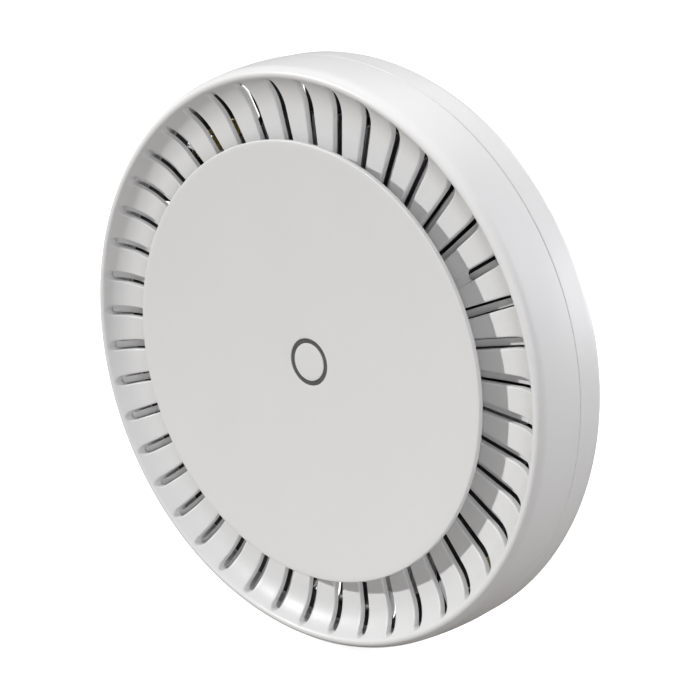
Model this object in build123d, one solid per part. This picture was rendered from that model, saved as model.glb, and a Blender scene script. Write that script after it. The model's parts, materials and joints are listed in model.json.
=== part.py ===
from build123d import *
import math
import os

# A round ceiling access point that stands upright: its axis is Y, its front faces -Y and +Z is up.
# The origin is the centre of the bracket's flat back, the face that lies on the wall or ceiling.
# Most pieces are placed by depth: millimetres rearwards (+Y) from the rim of the front disc.

# ---- Driving dimensions (mm, degrees) ----
BODY_RADIUS = 114.0          # the housing at its parting line
RIM_TO_WALL = 46.0           # from the front disc's rim back to the wall plane
WALL = 2.2                   # moulded wall thickness
GAP = 0.1                    # clearance between pieces that only meet

# Front shell, a profile turned about Y; tilts are measured from the front plane
CREST_RADIUS = 109.3         # crest of the front lip
CREST_DEPTH = -0.9
LIP_RADIUS = 1.8             # edge rounding of the lip
LIP_INNER_TILT = 55.0
LIP_OUTER_TILT = 44.0
BOWL_RADIUS = 18.0           # hollow of the vent channel
FLOOR_TILT = 9.0             # slope of the channel floor under the disc
FLOOR_DEPTH = 12.5           # flat middle of the front shell
SHOULDER_RADIUS = 6.0
SHOULDER_TILT = 80.0
PARTING_DEPTH = 19.6
PARTING_BEVEL = 0.3          # the two bevels make the fine line round the side
PARTING_GAP = 0.15
HUB_DEPTH = 10.0             # raised seat that carries the front disc
HUB_RADIUS = 24.0
CORNER_TILT = 46.0           # where the bowl's back turns into the side wall's inside
SIDE_LEAN = 1.8              # the inside of the side wall leans in this much towards the lip
SIDE_LEAN_DEPTH = 5.2

# Vent slots in the channel and the bars behind them
SLOT_COUNT = 44
SLOT_WIDTH = 4.0
SLOT_INNER = 70.0
SLOT_OUTER = 107.7
SHORT_SLOT = 4               # this slot, counted from +X, is only cut through on its outer part
SHORT_SLOT_INNER = 84.5
GROOVE_DEPTH = 1.0
LOUVRE_CLEARANCE = 1.75      # from the shell's back to the bars
LOUVRE_THICKNESS = 2.0
LOUVRE_BAR_WIDTH = 2.6
LOUVRE_DROP = 0.35           # the whole ring of bars sits this far below the shell's axis
LOUVRE_TILT = 45.5           # where the bars' fronts end on the bowl
LOUVRE_BACK_TILT = 43.0      # where their backs end
LOUVRE_INNER = 66.5
LOUVRE_RING_WIDTH = 2.5
LOUVRE_OUTER_RING = 1.0

# Front disc, a shallow saucer
DISC_RADIUS = 85.35
DISC_RIM_DEPTH = -0.1
DISC_CENTRE_DEPTH = 6.23
DISC_EDGE_ROUNDING = 0.5
DISC_BOSS_RADIUS = 22.0
DISC_SCREW_CIRCLE = 16.0
LED_OUTER = 9.25
LED_INNER = 7.33
LED_GROOVE_DEPTH = 7.2       # floor of the groove that holds the ring
LED_RECESS = 0.3             # the ring's face lies this far below the saucer
LED_CLEARANCE = 0.04
LED_PEG_RADIUS = 0.7
LED_PEG_COUNT = 4
GUIDE_FLANGE_RADIUS = 9.6
GUIDE_SEAT_DEPTH = 7.6
GUIDE_STEM_RADIUS = 8.0
GUIDE_END_DEPTH = 18.8
GUIDE_WALL = 2.0
DISC_SCREW_BITE = 2.4        # thread length in the disc
DISC_SCREW_HEAD = 2.4

# Rear shell
BACK_DEPTH = 36.0            # flat back of the housing
BACK_ROUNDING = 6.4
RIB_INNER = 110.0            # locating rib inside the joint of the shells
RIB_OUTER = 111.3
RIB_FRONT = 17.5
RIB_REAR = 24.0
REAR_VENT_COUNT = 68
REAR_VENT_WIDTH = 2.6
REAR_VENT_INNER = 97.0
REAR_VENT_OUTER = 113.2      # just into the rounded rear edge
REAR_VENT_FRONT = 31.0
BAY_HALF_WIDTH = 38.0        # connector bay, open at the back
BAY_TOP = -48.0
BAY_BOTTOM = -88.0
BAY_FLOOR_DEPTH = 20.2
BAY_WALL = 2.0
BAY_FLANGE = 1.5             # rim of the bay's tray, behind the shell's back
BAY_FLANGE_THICKNESS = 1.2

# Circuit board and what it carries
BOARD_RADIUS = 54.0
BOARD_BOTTOM = -45.5
BOARD_FRONT = 19.7
BOARD_BACK = 21.3
BOARD_POSTS = ((23.5, 40.7), (-23.5, 40.7), (40.0, -22.0), (-40.0, -22.0))
POST_RADIUS = 3.0
SHIELD_HEIGHT = 1.8
SHIELD_SKIN = 0.3
PAD_THICKNESS = 0.8
PROCESSOR_PAD_SIZE = (20.0, 18.0)
RADIO_PAD_SIZE = (16.0, 18.0)
CHIP_HEIGHT = 1.2
PROCESSOR_PLACE = (0.0, 28.0)
PROCESSOR_SHIELD_SIZE = (30.0, 24.0)
PROCESSOR_SIZE = (17.0, 17.0)
RADIO_PLACES = ((-30.0, 4.0), (30.0, 4.0))
RADIO_SHIELD_SIZE = (22.0, 26.0)
RADIO_SIZE = (9.0, 9.0)
SINK_THICKNESS = 1.8
SINK_STEP_RADIUS = 57.0
SINK_RING_RADIUS = 69.0
SINK_RING_FRONT = 19.0
FIN_OUTER = 92.0
FIN_BACK = 31.0
FIN_THICKNESS = 1.2
FIN_FIRST_ANGLE = -20.0
FIN_LAST_ANGLE = 200.0
FIN_STEP = 5.5
BOARD_SCREW_HEAD = 1.2       # countersunk into the heat sink
LED_SIZE = (1.6, 0.8)
LED_HEIGHT = 0.6
CAPACITOR_PLACES = ((-34.0, 2.0), (-34.0, 10.0), (-27.0, 6.0))
CAPACITOR_RADIUS = 3.15
CAPACITOR_HEIGHT = 7.0
POWER_INDUCTOR_PLACE = (-23.0, -12.0)
INDUCTOR_BASE = 10.0
INDUCTOR_RADIUS = 4.4
INDUCTOR_HEIGHT = 4.8
TRANSFORMER_SIZE = (14.0, 9.0)
TRANSFORMER_HEIGHT = 5.0
TRANSFORMER_Z = -18.0

# Connectors and buttons, all facing down into the bay
JACK_WIDTH = 16.0
JACK_HEIGHT = 12.0
JACK_LENGTH = 21.3
JACK_PORT = (11.9, 8.3)      # opening for the plug
JACK_PORT_LENGTH = 14.5
JACK_LATCH = (4.2, 2.2)      # notch over the opening for the plug's latch
JACK_PORT_OFFSET = 2.8       # from the board to the opening
CONTACT_COUNT = 8
CONTACT_PITCH = 1.02
CONTACT_WIDTH = 0.4
CONTACT_HEIGHT = 0.6
CONTACT_START = 4.0          # contacts begin this far inside the opening
JACK_FACE = BAY_TOP + GAP
JACK_IN_X = -9.0
JACK_OUT_X = 9.5
POWER_JACK_X = -26.0
POWER_JACK_SIZE = (9.0, 11.0, 14.0)
POWER_BORE_RADIUS = 3.2
POWER_PIN_RADIUS = 1.0
POWER_BORE_LENGTH = 10.0
RESET_X = 24.0
MODE_X = 32.0
BUTTON_DEPTH = 26.0
BUTTON_RADIUS = 1.9
BUTTON_HOLE_RADIUS = 2.0
BUTTON_TRAVEL = 0.8
BUTTON_PROUD = 1.2
BUTTON_FLANGE_RADIUS = 2.8
BUTTON_FLANGE = 0.8
SWITCH_SIZE = (6.0, 4.0)
SWITCH_NUB_RADIUS = 1.4

# Antennas, one near each corner of the housing
ANTENNA_ANGLES = (45.0, 135.0, 225.0, 315.0)
ANTENNA_RADIUS = 102.0
ANTENNA_WIDTH = 24.0
ANTENNA_HEIGHT = 11.0
ANTENNA_FOOT = 6.0
ANTENNA_SHEET = 0.5
ANTENNA_NOTCH = (3.5, 5.5)   # from the plate's top edge
ANTENNA_NOTCH_START = 4.0
CABLE_RADIUS = 0.7
CABLE_PLUG_RADIUS = 1.4
CABLE_PLUG_HEIGHT = 2.0

# Screws
SHELL_SCREW_ANGLES = (40.0, 140.0, 220.0, 320.0)
SHELL_SCREW_CIRCLE = 62.0
SHELL_BOSS_RADIUS = 3.6
SHELL_BOSS_END = 24.0
SHELL_SCREW_SEAT = 27.0
SCREW_RADIUS = 1.45
SCREW_HOLE = 1.5
HEAD_RADIUS = 2.75
HEAD_HEIGHT = 1.6
SOCKET_WIDTH = 1.1

# Mounting bracket: a shallow cup whose hooks hold the housing
BRACKET_PLATE = 2.5
BRACKET_RADIUS = 88.0
BRACKET_WALL = 2.5
BRACKET_HOLE = 22.0          # cable hole in the middle
CABLE_GAP = 8.0              # half width of the side cable exit
HOOK_ANGLES = (90.0, 200.0, 345.0)
HOOK_CIRCLE = 60.0
HOOK_STEM_WIDTH = 4.0
HOOK_HEAD_WIDTH = 9.0
HOOK_LENGTH = 5.0
HOOK_HEAD_HEIGHT = 2.1
UNLOCK_ANGLE = 14.0
HOOK_CLEARANCE = 0.3
CEILING_CIRCLE = 70.0
CEILING_HOLE = 2.3
CEILING_ANGLES = (45.0, 135.0, 225.0, 315.0)
BOX_SPACING = 60.0           # round flush box
BOX_HOLE = 1.9
GANG_SPACING = 83.3          # single-gang box
GANG_HOLE = 2.1

LABEL_SIZE = (40.0, 18.0)
LABEL_HEIGHT = 30.0
LABEL_THICKNESS = 0.3


# ---- Helpers ----
def y_at(depth):
    return depth - RIM_TO_WALL


def tilted(centre, radius, tilt, side=-1):
    """Point of a profile circle where the surface leans by tilt; side -1 is its front half."""
    lean = math.radians(tilt)
    return centre[0] + radius * math.sin(lean), centre[1] + side * radius * math.cos(lean)


def placed(point):
    """A profile point (radius, depth) in the part's own frame."""
    return point[0], y_at(point[1])


def turned(profile):
    return revolve(profile, Axis.Y)


def prism(outline, front, back):
    """Solid of a front-view outline (x right, z up) between two depths."""
    return Pos(0, y_at(back), 0) * (Rot(90, 0, 0) * extrude(outline, back - front))


def upright(outline, bottom, top, x=0.0, depth=0.0):
    """Solid of an outline seen from below (x right, y rearwards) between two heights."""
    return Pos(x, y_at(depth), bottom) * extrude(outline, top - bottom)


def block(x_range, z_range, front, back):
    width = x_range[1] - x_range[0]
    height = z_range[1] - z_range[0]
    middle = Pos(x_range[0] + width / 2, z_range[0] + height / 2)
    return prism(middle * Rectangle(width, height), front, back)


def rod(radius, front, back, x=0.0, z=0.0):
    return prism(Pos(x, z) * Circle(radius), front, back)


def ring(outer, inner, front, back):
    return prism(Circle(outer) - Circle(inner), front, back)


def at_angle(shape, angle):
    """Turns a shape made on +X anticlockwise, as seen from the front."""
    return Rot(0, -angle, 0) * shape


def on_circle(radius, angle):
    return radius * math.cos(math.radians(angle)), radius * math.sin(math.radians(angle))


def radial_slot(inner, outer, width):
    """Front-view outline on +X with round ends."""
    length = outer - inner
    return Pos(inner + length / 2, 0) * SlotOverall(length, width)


def screw(front, seat, head_radius=HEAD_RADIUS):
    """Screw on the Y axis whose shaft runs from front to seat, with its head behind the seat."""
    body = rod(SCREW_RADIUS, front, seat) + rod(head_radius, seat, seat + HEAD_HEIGHT)
    return body - prism(RegularPolygon(SOCKET_WIDTH, 6), seat + HEAD_HEIGHT / 2, seat + HEAD_HEIGHT)


# ---- Shared profile points of the front shell (radius, depth) ----
LIP_CENTRE = (CREST_RADIUS, CREST_DEPTH + LIP_RADIUS)
LIP_INNER = tilted(LIP_CENTRE, LIP_RADIUS, -LIP_INNER_TILT)
LIP_OUTER = tilted(LIP_CENTRE, LIP_RADIUS, LIP_OUTER_TILT)
BOWL_CENTRE = tilted(LIP_INNER, -BOWL_RADIUS, LIP_INNER_TILT, side=1)
SHOULDER_CENTRE = tilted(LIP_OUTER, -SHOULDER_RADIUS, LIP_OUTER_TILT)
SHOULDER_END = tilted(SHOULDER_CENTRE, SHOULDER_RADIUS, SHOULDER_TILT)


def bowl_point(offset, tilt):
    """Point behind the vent channel's surface by offset, on the bowl."""
    return tilted(BOWL_CENTRE, BOWL_RADIUS + offset, tilt, side=1)


def floor_point(offset, radius):
    """Point behind the channel floor's slope by offset, at the given radius."""
    start = bowl_point(offset, FLOOR_TILT)
    return radius, start[1] + (start[0] - radius) * math.tan(math.radians(FLOOR_TILT))


def floor_radius(offset, depth):
    """Radius at which the sloping floor reaches a depth."""
    start = bowl_point(offset, FLOOR_TILT)
    return start[0] - (depth - start[1]) / math.tan(math.radians(FLOOR_TILT))


def bowl_arc(offset, from_tilt, to_tilt):
    middle = (from_tilt + to_tilt) / 2
    points = [placed(bowl_point(offset, tilt)) for tilt in (from_tilt, middle, to_tilt)]
    return ThreePointArc(*points)


def line(start, end):
    """Straight profile edge between two (radius, depth) points."""
    return Line(placed(start), placed(end))


def lines(*points):
    """Straight profile edges through (radius, depth) points."""
    return [line(start, end) for start, end in zip(points, points[1:])]


# ---- Front of the housing ----
def front_shell_profile():
    side_inner = BODY_RADIUS - WALL
    lean = math.radians(SHOULDER_TILT)
    back_floor = FLOOR_DEPTH + WALL
    front_edge = (floor_radius(0, FLOOR_DEPTH), FLOOR_DEPTH)
    lip_mid = (CREST_RADIUS, CREST_DEPTH)
    shoulder_mid = tilted(SHOULDER_CENTRE, SHOULDER_RADIUS, (LIP_OUTER_TILT + SHOULDER_TILT) / 2)
    side_end = (BODY_RADIUS, PARTING_DEPTH - PARTING_BEVEL)
    edges = lines((HUB_RADIUS, HUB_DEPTH), (HUB_RADIUS, FLOOR_DEPTH), front_edge, bowl_point(0, FLOOR_TILT))
    edges.append(bowl_arc(0, FLOOR_TILT, LIP_INNER_TILT))
    edges.append(ThreePointArc(placed(LIP_INNER), placed(lip_mid), placed(LIP_OUTER)))
    edges.append(ThreePointArc(placed(LIP_OUTER), placed(shoulder_mid), placed(SHOULDER_END)))
    edges.append(TangentArc(placed(SHOULDER_END), placed(side_end), tangent=(math.cos(lean), math.sin(lean))))
    edges += lines(side_end, (BODY_RADIUS - PARTING_BEVEL, PARTING_DEPTH), (side_inner, PARTING_DEPTH),
                   (side_inner - SIDE_LEAN, SIDE_LEAN_DEPTH), bowl_point(WALL, CORNER_TILT))
    edges.append(bowl_arc(WALL, CORNER_TILT, FLOOR_TILT))
    edges += lines(bowl_point(WALL, FLOOR_TILT), (floor_radius(WALL, back_floor), back_floor),
                   (HUB_RADIUS - WALL, back_floor), (HUB_RADIUS - WALL, HUB_DEPTH + WALL),
                   (0, HUB_DEPTH + WALL), (0, HUB_DEPTH), (HUB_RADIUS, HUB_DEPTH))
    return make_face(edges)


def vent_slots():
    """Cutters for the slots; the short one is cut through only on its outer part."""
    full = prism(radial_slot(SLOT_INNER, SLOT_OUTER, SLOT_WIDTH), -5, PARTING_DEPTH)
    short = prism(radial_slot(SHORT_SLOT_INNER, SLOT_OUTER, SLOT_WIDTH), -5, PARTING_DEPTH)
    pitch = 360 / SLOT_COUNT
    return [at_angle(short if number == SHORT_SLOT else full, number * pitch)
            for number in range(SLOT_COUNT)]


def short_slot_groove():
    """Shallow groove that carries the short slot's line on under the disc."""
    outline = prism(radial_slot(SLOT_INNER, SHORT_SLOT_INNER + SLOT_WIDTH, SLOT_WIDTH), 0, PARTING_DEPTH)
    low = floor_point(GROOVE_DEPTH, SLOT_INNER - WALL)
    high = floor_point(GROOVE_DEPTH, SHORT_SLOT_INNER + 2 * SLOT_WIDTH)
    above = turned(make_face(lines(low, high, (high[0], 0), (low[0], 0), low)))
    return at_angle(outline, SHORT_SLOT * 360 / SLOT_COUNT) & above


def front_shell():
    shell = turned(front_shell_profile())
    shell = shell - vent_slots() - short_slot_groove()
    shell = shell - rod(GUIDE_STEM_RADIUS + 0.3, 0, BACK_DEPTH)
    for angle in SHELL_SCREW_ANGLES:
        x, z = on_circle(SHELL_SCREW_CIRCLE, angle)
        shell = shell + rod(SHELL_BOSS_RADIUS, FLOOR_DEPTH + WALL / 2, SHELL_BOSS_END, x, z)
        shell = shell - rod(SCREW_HOLE, FLOOR_DEPTH + WALL, SHELL_BOSS_END, x, z)
    for number in range(4):
        x, z = on_circle(DISC_SCREW_CIRCLE, 45 + 90 * number)
        shell = shell - rod(SCREW_HOLE + 0.1, 0, BACK_DEPTH, x, z)
    return shell


def louvre_ring():
    """Bars that follow the bowl a little low behind the slots, joined by an inner and an outer ring."""
    front = WALL + LOUVRE_CLEARANCE
    back = front + LOUVRE_THICKNESS
    edges = [
        line(floor_point(front, LOUVRE_INNER), bowl_point(front, FLOOR_TILT)),
        bowl_arc(front, FLOOR_TILT, LOUVRE_TILT),
        line(bowl_point(front, LOUVRE_TILT), bowl_point(back, LOUVRE_BACK_TILT)),
        bowl_arc(back, LOUVRE_BACK_TILT, FLOOR_TILT),
        line(bowl_point(back, FLOOR_TILT), floor_point(back, LOUVRE_INNER)),
        line(floor_point(back, LOUVRE_INNER), floor_point(front, LOUVRE_INNER)),
    ]
    band = turned(make_face(edges))
    reach = BODY_RADIUS
    bar = block((LOUVRE_INNER, reach), (-LOUVRE_BAR_WIDTH / 2, LOUVRE_BAR_WIDTH / 2), 0, BACK_DEPTH)
    pitch = 360 / SLOT_COUNT
    bars = [at_angle(bar, number * pitch) for number in range(SLOT_COUNT)]
    outer_radius = bowl_point(front, LOUVRE_TILT)[0]
    keep = Part() + bars
    keep = keep + ring(LOUVRE_INNER + LOUVRE_RING_WIDTH, LOUVRE_INNER, 0, BACK_DEPTH)
    keep = keep + ring(reach, outer_radius - LOUVRE_OUTER_RING, 0, BACK_DEPTH)
    return Pos(0, 0, -LOUVRE_DROP) * (band & keep)


# ---- Front disc and its light ----
def disc_surface(radius, offset=0.0):
    """Depth of the saucer's front at a radius."""
    sag = DISC_CENTRE_DEPTH - DISC_RIM_DEPTH
    return DISC_CENTRE_DEPTH - sag * (radius / DISC_RADIUS) ** 2 + offset


def disc_arc(offset, start, end):
    points = [placed((radius, disc_surface(radius, offset))) for radius in (start, (start + end) / 2, end)]
    return ThreePointArc(*points)


def front_disc():
    edges = [
        disc_arc(0, 0, DISC_RADIUS),
        line((DISC_RADIUS, disc_surface(DISC_RADIUS)), (DISC_RADIUS, disc_surface(DISC_RADIUS, WALL))),
        disc_arc(WALL, DISC_RADIUS, DISC_BOSS_RADIUS),
        *lines((DISC_BOSS_RADIUS, disc_surface(DISC_BOSS_RADIUS, WALL)), (DISC_BOSS_RADIUS, HUB_DEPTH),
               (0, HUB_DEPTH), (0, DISC_CENTRE_DEPTH)),
    ]
    profile = make_face(edges)
    rim = profile.vertices().group_by(Axis.X)[-1]
    disc = turned(fillet(rim, DISC_EDGE_ROUNDING))
    disc = disc - ring(LED_OUTER, LED_INNER, 0, LED_GROOVE_DEPTH)
    disc = disc - rod(GUIDE_FLANGE_RADIUS, GUIDE_SEAT_DEPTH, HUB_DEPTH)
    for number in range(LED_PEG_COUNT):
        x, z = on_circle((LED_OUTER + LED_INNER) / 2, 90 * number)
        disc = disc - rod(LED_PEG_RADIUS, LED_GROOVE_DEPTH - GAP, GUIDE_SEAT_DEPTH, x, z)
        x, z = on_circle(DISC_SCREW_CIRCLE, 45 + 90 * number)
        disc = disc - rod(SCREW_HOLE, HUB_DEPTH - DISC_SCREW_BITE - 0.2, HUB_DEPTH, x, z)
    return disc


def led_ring():
    """Smoked ring just below the saucer, with pegs that take light from the guide behind it."""
    outer = LED_OUTER - LED_CLEARANCE
    inner = LED_INNER + LED_CLEARANCE
    edges = [disc_arc(LED_RECESS, inner, outer)]
    edges += lines((outer, disc_surface(outer, LED_RECESS)), (outer, LED_GROOVE_DEPTH),
                   (inner, LED_GROOVE_DEPTH), (inner, disc_surface(inner, LED_RECESS)))
    lens = turned(make_face(edges))
    for number in range(LED_PEG_COUNT):
        x, z = on_circle((LED_OUTER + LED_INNER) / 2, 90 * number)
        lens = lens + rod(LED_PEG_RADIUS - LED_CLEARANCE, LED_GROOVE_DEPTH, GUIDE_SEAT_DEPTH, x, z)
    return lens


def light_guide():
    flange = rod(GUIDE_FLANGE_RADIUS - GAP, GUIDE_SEAT_DEPTH + GAP / 2, HUB_DEPTH - GAP / 2)
    stem = ring(GUIDE_STEM_RADIUS, GUIDE_STEM_RADIUS - GUIDE_WALL, HUB_DEPTH - GAP, GUIDE_END_DEPTH)
    return flange + stem


def disc_screws():
    """Four screws from behind the hub into the disc."""
    one = screw(HUB_DEPTH - DISC_SCREW_BITE, HUB_DEPTH + WALL, DISC_SCREW_HEAD)
    return group_on_circle(one, DISC_SCREW_CIRCLE, [45 + 90 * number for number in range(4)])


def group_on_circle(shape, radius, angles):
    places = [on_circle(radius, angle) for angle in angles]
    return group_at(shape, places)


def group_at(shape, places):
    """Identical solids side by side in one node."""
    return Compound(children=[Pos(x, 0, z) * shape for x, z in places])


# ---- Rear of the housing ----
def rear_shell_profile():
    side_inner = BODY_RADIUS - WALL
    joint = PARTING_DEPTH + PARTING_GAP
    turn = BACK_DEPTH - BACK_ROUNDING
    corner = BODY_RADIUS - BACK_ROUNDING
    outer_mid = tilted((corner, turn), BACK_ROUNDING, 45, side=1)
    inner_mid = tilted((corner, turn), BACK_ROUNDING - WALL, 45, side=1)
    lip = BODY_RADIUS - PARTING_BEVEL
    edges = lines((lip, joint), (BODY_RADIUS, joint + PARTING_BEVEL), (BODY_RADIUS, turn))
    edges.append(ThreePointArc(placed((BODY_RADIUS, turn)), placed(outer_mid), placed((corner, BACK_DEPTH))))
    edges += lines((corner, BACK_DEPTH), (0, BACK_DEPTH), (0, BACK_DEPTH - WALL), (corner, BACK_DEPTH - WALL))
    inner_corner = placed((corner, BACK_DEPTH - WALL))
    edges.append(ThreePointArc(inner_corner, placed(inner_mid), placed((side_inner, turn))))
    edges += lines((side_inner, turn), (side_inner, RIB_REAR), (RIB_INNER, RIB_REAR - 1.0),
                   (RIB_INNER, RIB_FRONT), (RIB_OUTER, RIB_FRONT), (RIB_OUTER, joint), (lip, joint))
    return make_face(edges)


def hook_openings():
    """Keyhole slots for the bracket's hooks: narrow where they lock, wide where they enter."""
    inner = HOOK_CIRCLE - HOOK_STEM_WIDTH / 2 - HOOK_CLEARANCE
    outer = HOOK_CIRCLE + HOOK_STEM_WIDTH / 2 + HOOK_CLEARANCE
    front = BACK_DEPTH - WALL - 1
    back = BACK_DEPTH + 1
    half = math.degrees((HOOK_LENGTH / 2 + 2 * HOOK_CLEARANCE) / inner)
    sweep_angle = UNLOCK_ANGLE + 2 * half
    head = HOOK_HEAD_WIDTH / 2 + HOOK_CLEARANCE
    reach = HOOK_LENGTH / 2 + 3 * HOOK_CLEARANCE
    outline = make_face(lines((inner, front), (outer, front), (outer, back), (inner, back), (inner, front)))
    cutters = []
    for angle in HOOK_ANGLES:
        narrow = revolve(outline, Axis.Y, sweep_angle)
        cutters.append(Rot(0, UNLOCK_ANGLE - angle + half - sweep_angle, 0) * narrow)
        wide = block((HOOK_CIRCLE - head, HOOK_CIRCLE + head), (-reach, reach), front, back)
        cutters.append(at_angle(wide, angle - UNLOCK_ANGLE))
    return cutters


def bay_block(margin, front, back):
    """Block round the connector bay, wider than its inside by margin all round."""
    return block((-BAY_HALF_WIDTH - margin, BAY_HALF_WIDTH + margin), (BAY_BOTTOM - margin, BAY_TOP + margin),
                 front, back)


def rear_shell():
    shell = turned(rear_shell_profile())
    shell = shell - bay_block(BAY_WALL + GAP, BACK_DEPTH - WALL - 1, BACK_DEPTH + 1)
    for x, z in BOARD_POSTS:
        shell = shell + rod(POST_RADIUS, BOARD_BACK, BACK_DEPTH - WALL / 2, x, z)
        shell = shell - rod(SCREW_HOLE, BOARD_BACK, BACK_DEPTH - WALL - 2, x, z)
    for angle in SHELL_SCREW_ANGLES:
        x, z = on_circle(SHELL_SCREW_CIRCLE, angle)
        shell = shell + rod(SHELL_BOSS_RADIUS + 1.0, SHELL_BOSS_END + GAP, BACK_DEPTH - WALL / 2, x, z)
        shell = shell - rod(SCREW_HOLE + 0.2, SHELL_BOSS_END, BACK_DEPTH, x, z)
        shell = shell - rod(HEAD_RADIUS + 0.4, SHELL_SCREW_SEAT, BACK_DEPTH + 1, x, z)
    outline = radial_slot(REAR_VENT_INNER, REAR_VENT_OUTER, REAR_VENT_WIDTH)
    vent = prism(outline, REAR_VENT_FRONT, BACK_DEPTH + 1)
    pitch = 360 / REAR_VENT_COUNT
    shell = shell - [at_angle(vent, number * pitch) for number in range(REAR_VENT_COUNT)]
    return shell - hook_openings()


def port_bay():
    """Tray let into the rear shell, open at the back, with the connectors in its upper wall."""
    tray = bay_block(BAY_WALL, BAY_FLOOR_DEPTH - BAY_WALL, BACK_DEPTH)
    flange_back = BACK_DEPTH - WALL - GAP
    flange = bay_block(BAY_WALL + BAY_FLANGE, flange_back - BAY_FLANGE_THICKNESS, flange_back)
    above = block((-BODY_RADIUS, BODY_RADIUS), (BAY_TOP + BAY_WALL, 0), 0, BACK_DEPTH)
    tray = tray + (flange - above)
    return tray - bay_block(0, BAY_FLOOR_DEPTH, BACK_DEPTH + 1) - bay_openings()


def bay_openings():
    """Holes in the bay's upper wall for the jacks and the buttons."""
    play = 0.15
    bottom = BAY_TOP - 1
    top = BAY_TOP + BAY_WALL + 1
    jacks = [(JACK_IN_X, JACK_WIDTH, JACK_HEIGHT), (JACK_OUT_X, JACK_WIDTH, JACK_HEIGHT),
             (POWER_JACK_X, POWER_JACK_SIZE[0], POWER_JACK_SIZE[1])]
    openings = []
    for x, width, height in jacks:
        half = width / 2 + play
        back = BOARD_BACK + height + play
        openings.append(block((x - half, x + half), (bottom, top), BOARD_BACK - play, back))
    for x in (RESET_X, MODE_X):
        openings.append(upright(Circle(BUTTON_HOLE_RADIUS), bottom, top, x, BUTTON_DEPTH))
    return openings


def shell_screws():
    one = screw(SHELL_SCREW_SEAT - 10.0, SHELL_SCREW_SEAT)
    return group_on_circle(one, SHELL_SCREW_CIRCLE, SHELL_SCREW_ANGLES)


def rear_label():
    half_width = LABEL_SIZE[0] / 2
    half_height = LABEL_SIZE[1] / 2
    z_range = (LABEL_HEIGHT - half_height, LABEL_HEIGHT + half_height)
    return block((-half_width, half_width), z_range, BACK_DEPTH, BACK_DEPTH + LABEL_THICKNESS)


# ---- Circuit board ----
def board_outline():
    cut = Pos(0, BOARD_BOTTOM - BOARD_RADIUS) * Rectangle(2 * BOARD_RADIUS, 2 * BOARD_RADIUS)
    return Circle(BOARD_RADIUS) - cut


def main_board():
    board = prism(board_outline(), BOARD_FRONT, BOARD_BACK)
    for x, z in BOARD_POSTS:
        board = board - rod(SCREW_HOLE + 0.2, BOARD_FRONT, BOARD_BACK, x, z)
    return board


def sink_plate():
    """Front and back depths of the heat sink's plate, which presses on the pads."""
    back = BOARD_FRONT - SHIELD_HEIGHT - PAD_THICKNESS
    return back - SINK_THICKNESS, back


def heat_sink():
    """Plate over the shields that steps down round the board to a comb of radial fins."""
    plate_front, plate_back = sink_plate()
    ring_back = SINK_RING_FRONT + SINK_THICKNESS
    inner_step = SINK_STEP_RADIUS - SINK_THICKNESS
    sink = turned(make_face(lines(
        (0, plate_front), (SINK_STEP_RADIUS, plate_front), (SINK_STEP_RADIUS, SINK_RING_FRONT),
        (SINK_RING_RADIUS, SINK_RING_FRONT), (SINK_RING_RADIUS, ring_back), (inner_step, ring_back),
        (inner_step, plate_back), (0, plate_back), (0, plate_front))))
    for x, z in BOARD_POSTS:
        sink = sink + rod(POST_RADIUS, plate_back - GAP, BOARD_FRONT, x, z)
        sink = sink - rod(SCREW_HOLE + 0.1, plate_front, BOARD_FRONT, x, z)
        sink = sink - rod(HEAD_RADIUS + 0.05, plate_front, plate_front + BOARD_SCREW_HEAD + 0.05, x, z)
    sink = sink - rod(GUIDE_STEM_RADIUS + 1.0, plate_front, plate_back)
    sink = sink - block((-BODY_RADIUS, BODY_RADIUS), (-BODY_RADIUS, BOARD_BOTTOM + 1.0), 0, BACK_DEPTH)
    half = FIN_THICKNESS / 2
    fin = block((SINK_STEP_RADIUS + 6.0, FIN_OUTER), (-half, half), SINK_RING_FRONT, FIN_BACK)
    count = int((FIN_LAST_ANGLE - FIN_FIRST_ANGLE) / FIN_STEP) + 1
    for number in range(count):
        angle = FIN_FIRST_ANGLE + number * FIN_STEP
        near_part = min(abs(angle - other) for other in ANTENNA_ANGLES + SHELL_SCREW_ANGLES)
        if near_part > FIN_STEP:
            sink = sink + at_angle(fin, angle)
    for angle in SHELL_SCREW_ANGLES:
        x, z = on_circle(SHELL_SCREW_CIRCLE, angle)
        sink = sink - rod(SHELL_BOSS_RADIUS + 1.6, 0, BACK_DEPTH, x, z)
    return sink


def board_screws():
    """Countersunk screws through the heat sink and the board into the posts."""
    front, _ = sink_plate()
    seat = front + BOARD_SCREW_HEAD
    body = rod(SCREW_RADIUS, seat, BOARD_BACK + 6.0) + rod(HEAD_RADIUS, front + 0.02, seat)
    body = body - prism(RegularPolygon(SOCKET_WIDTH, 6), front, front + BOARD_SCREW_HEAD / 2)
    return group_at(body, BOARD_POSTS)


def shield_can(place, size):
    """Folded sheet box, open towards the board."""
    front = BOARD_FRONT - SHIELD_HEIGHT
    outside = prism(Pos(*place) * RectangleRounded(*size, 1.0), front, BOARD_FRONT)
    inner_size = (size[0] - 2 * SHIELD_SKIN, size[1] - 2 * SHIELD_SKIN)
    return outside - prism(Pos(*place) * RectangleRounded(*inner_size, 0.7), front + SHIELD_SKIN, BOARD_FRONT)


def processor_shield():
    return shield_can(PROCESSOR_PLACE, PROCESSOR_SHIELD_SIZE)


def radio_shields():
    return Compound(children=[shield_can(place, RADIO_SHIELD_SIZE) for place in RADIO_PLACES])


def chip(place, size):
    return prism(Pos(*place) * Rectangle(*size), BOARD_FRONT - CHIP_HEIGHT, BOARD_FRONT)


def processor_chip():
    return chip(PROCESSOR_PLACE, PROCESSOR_SIZE)


def radio_chips():
    return Compound(children=[chip(place, RADIO_SIZE) for place in RADIO_PLACES])


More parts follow.
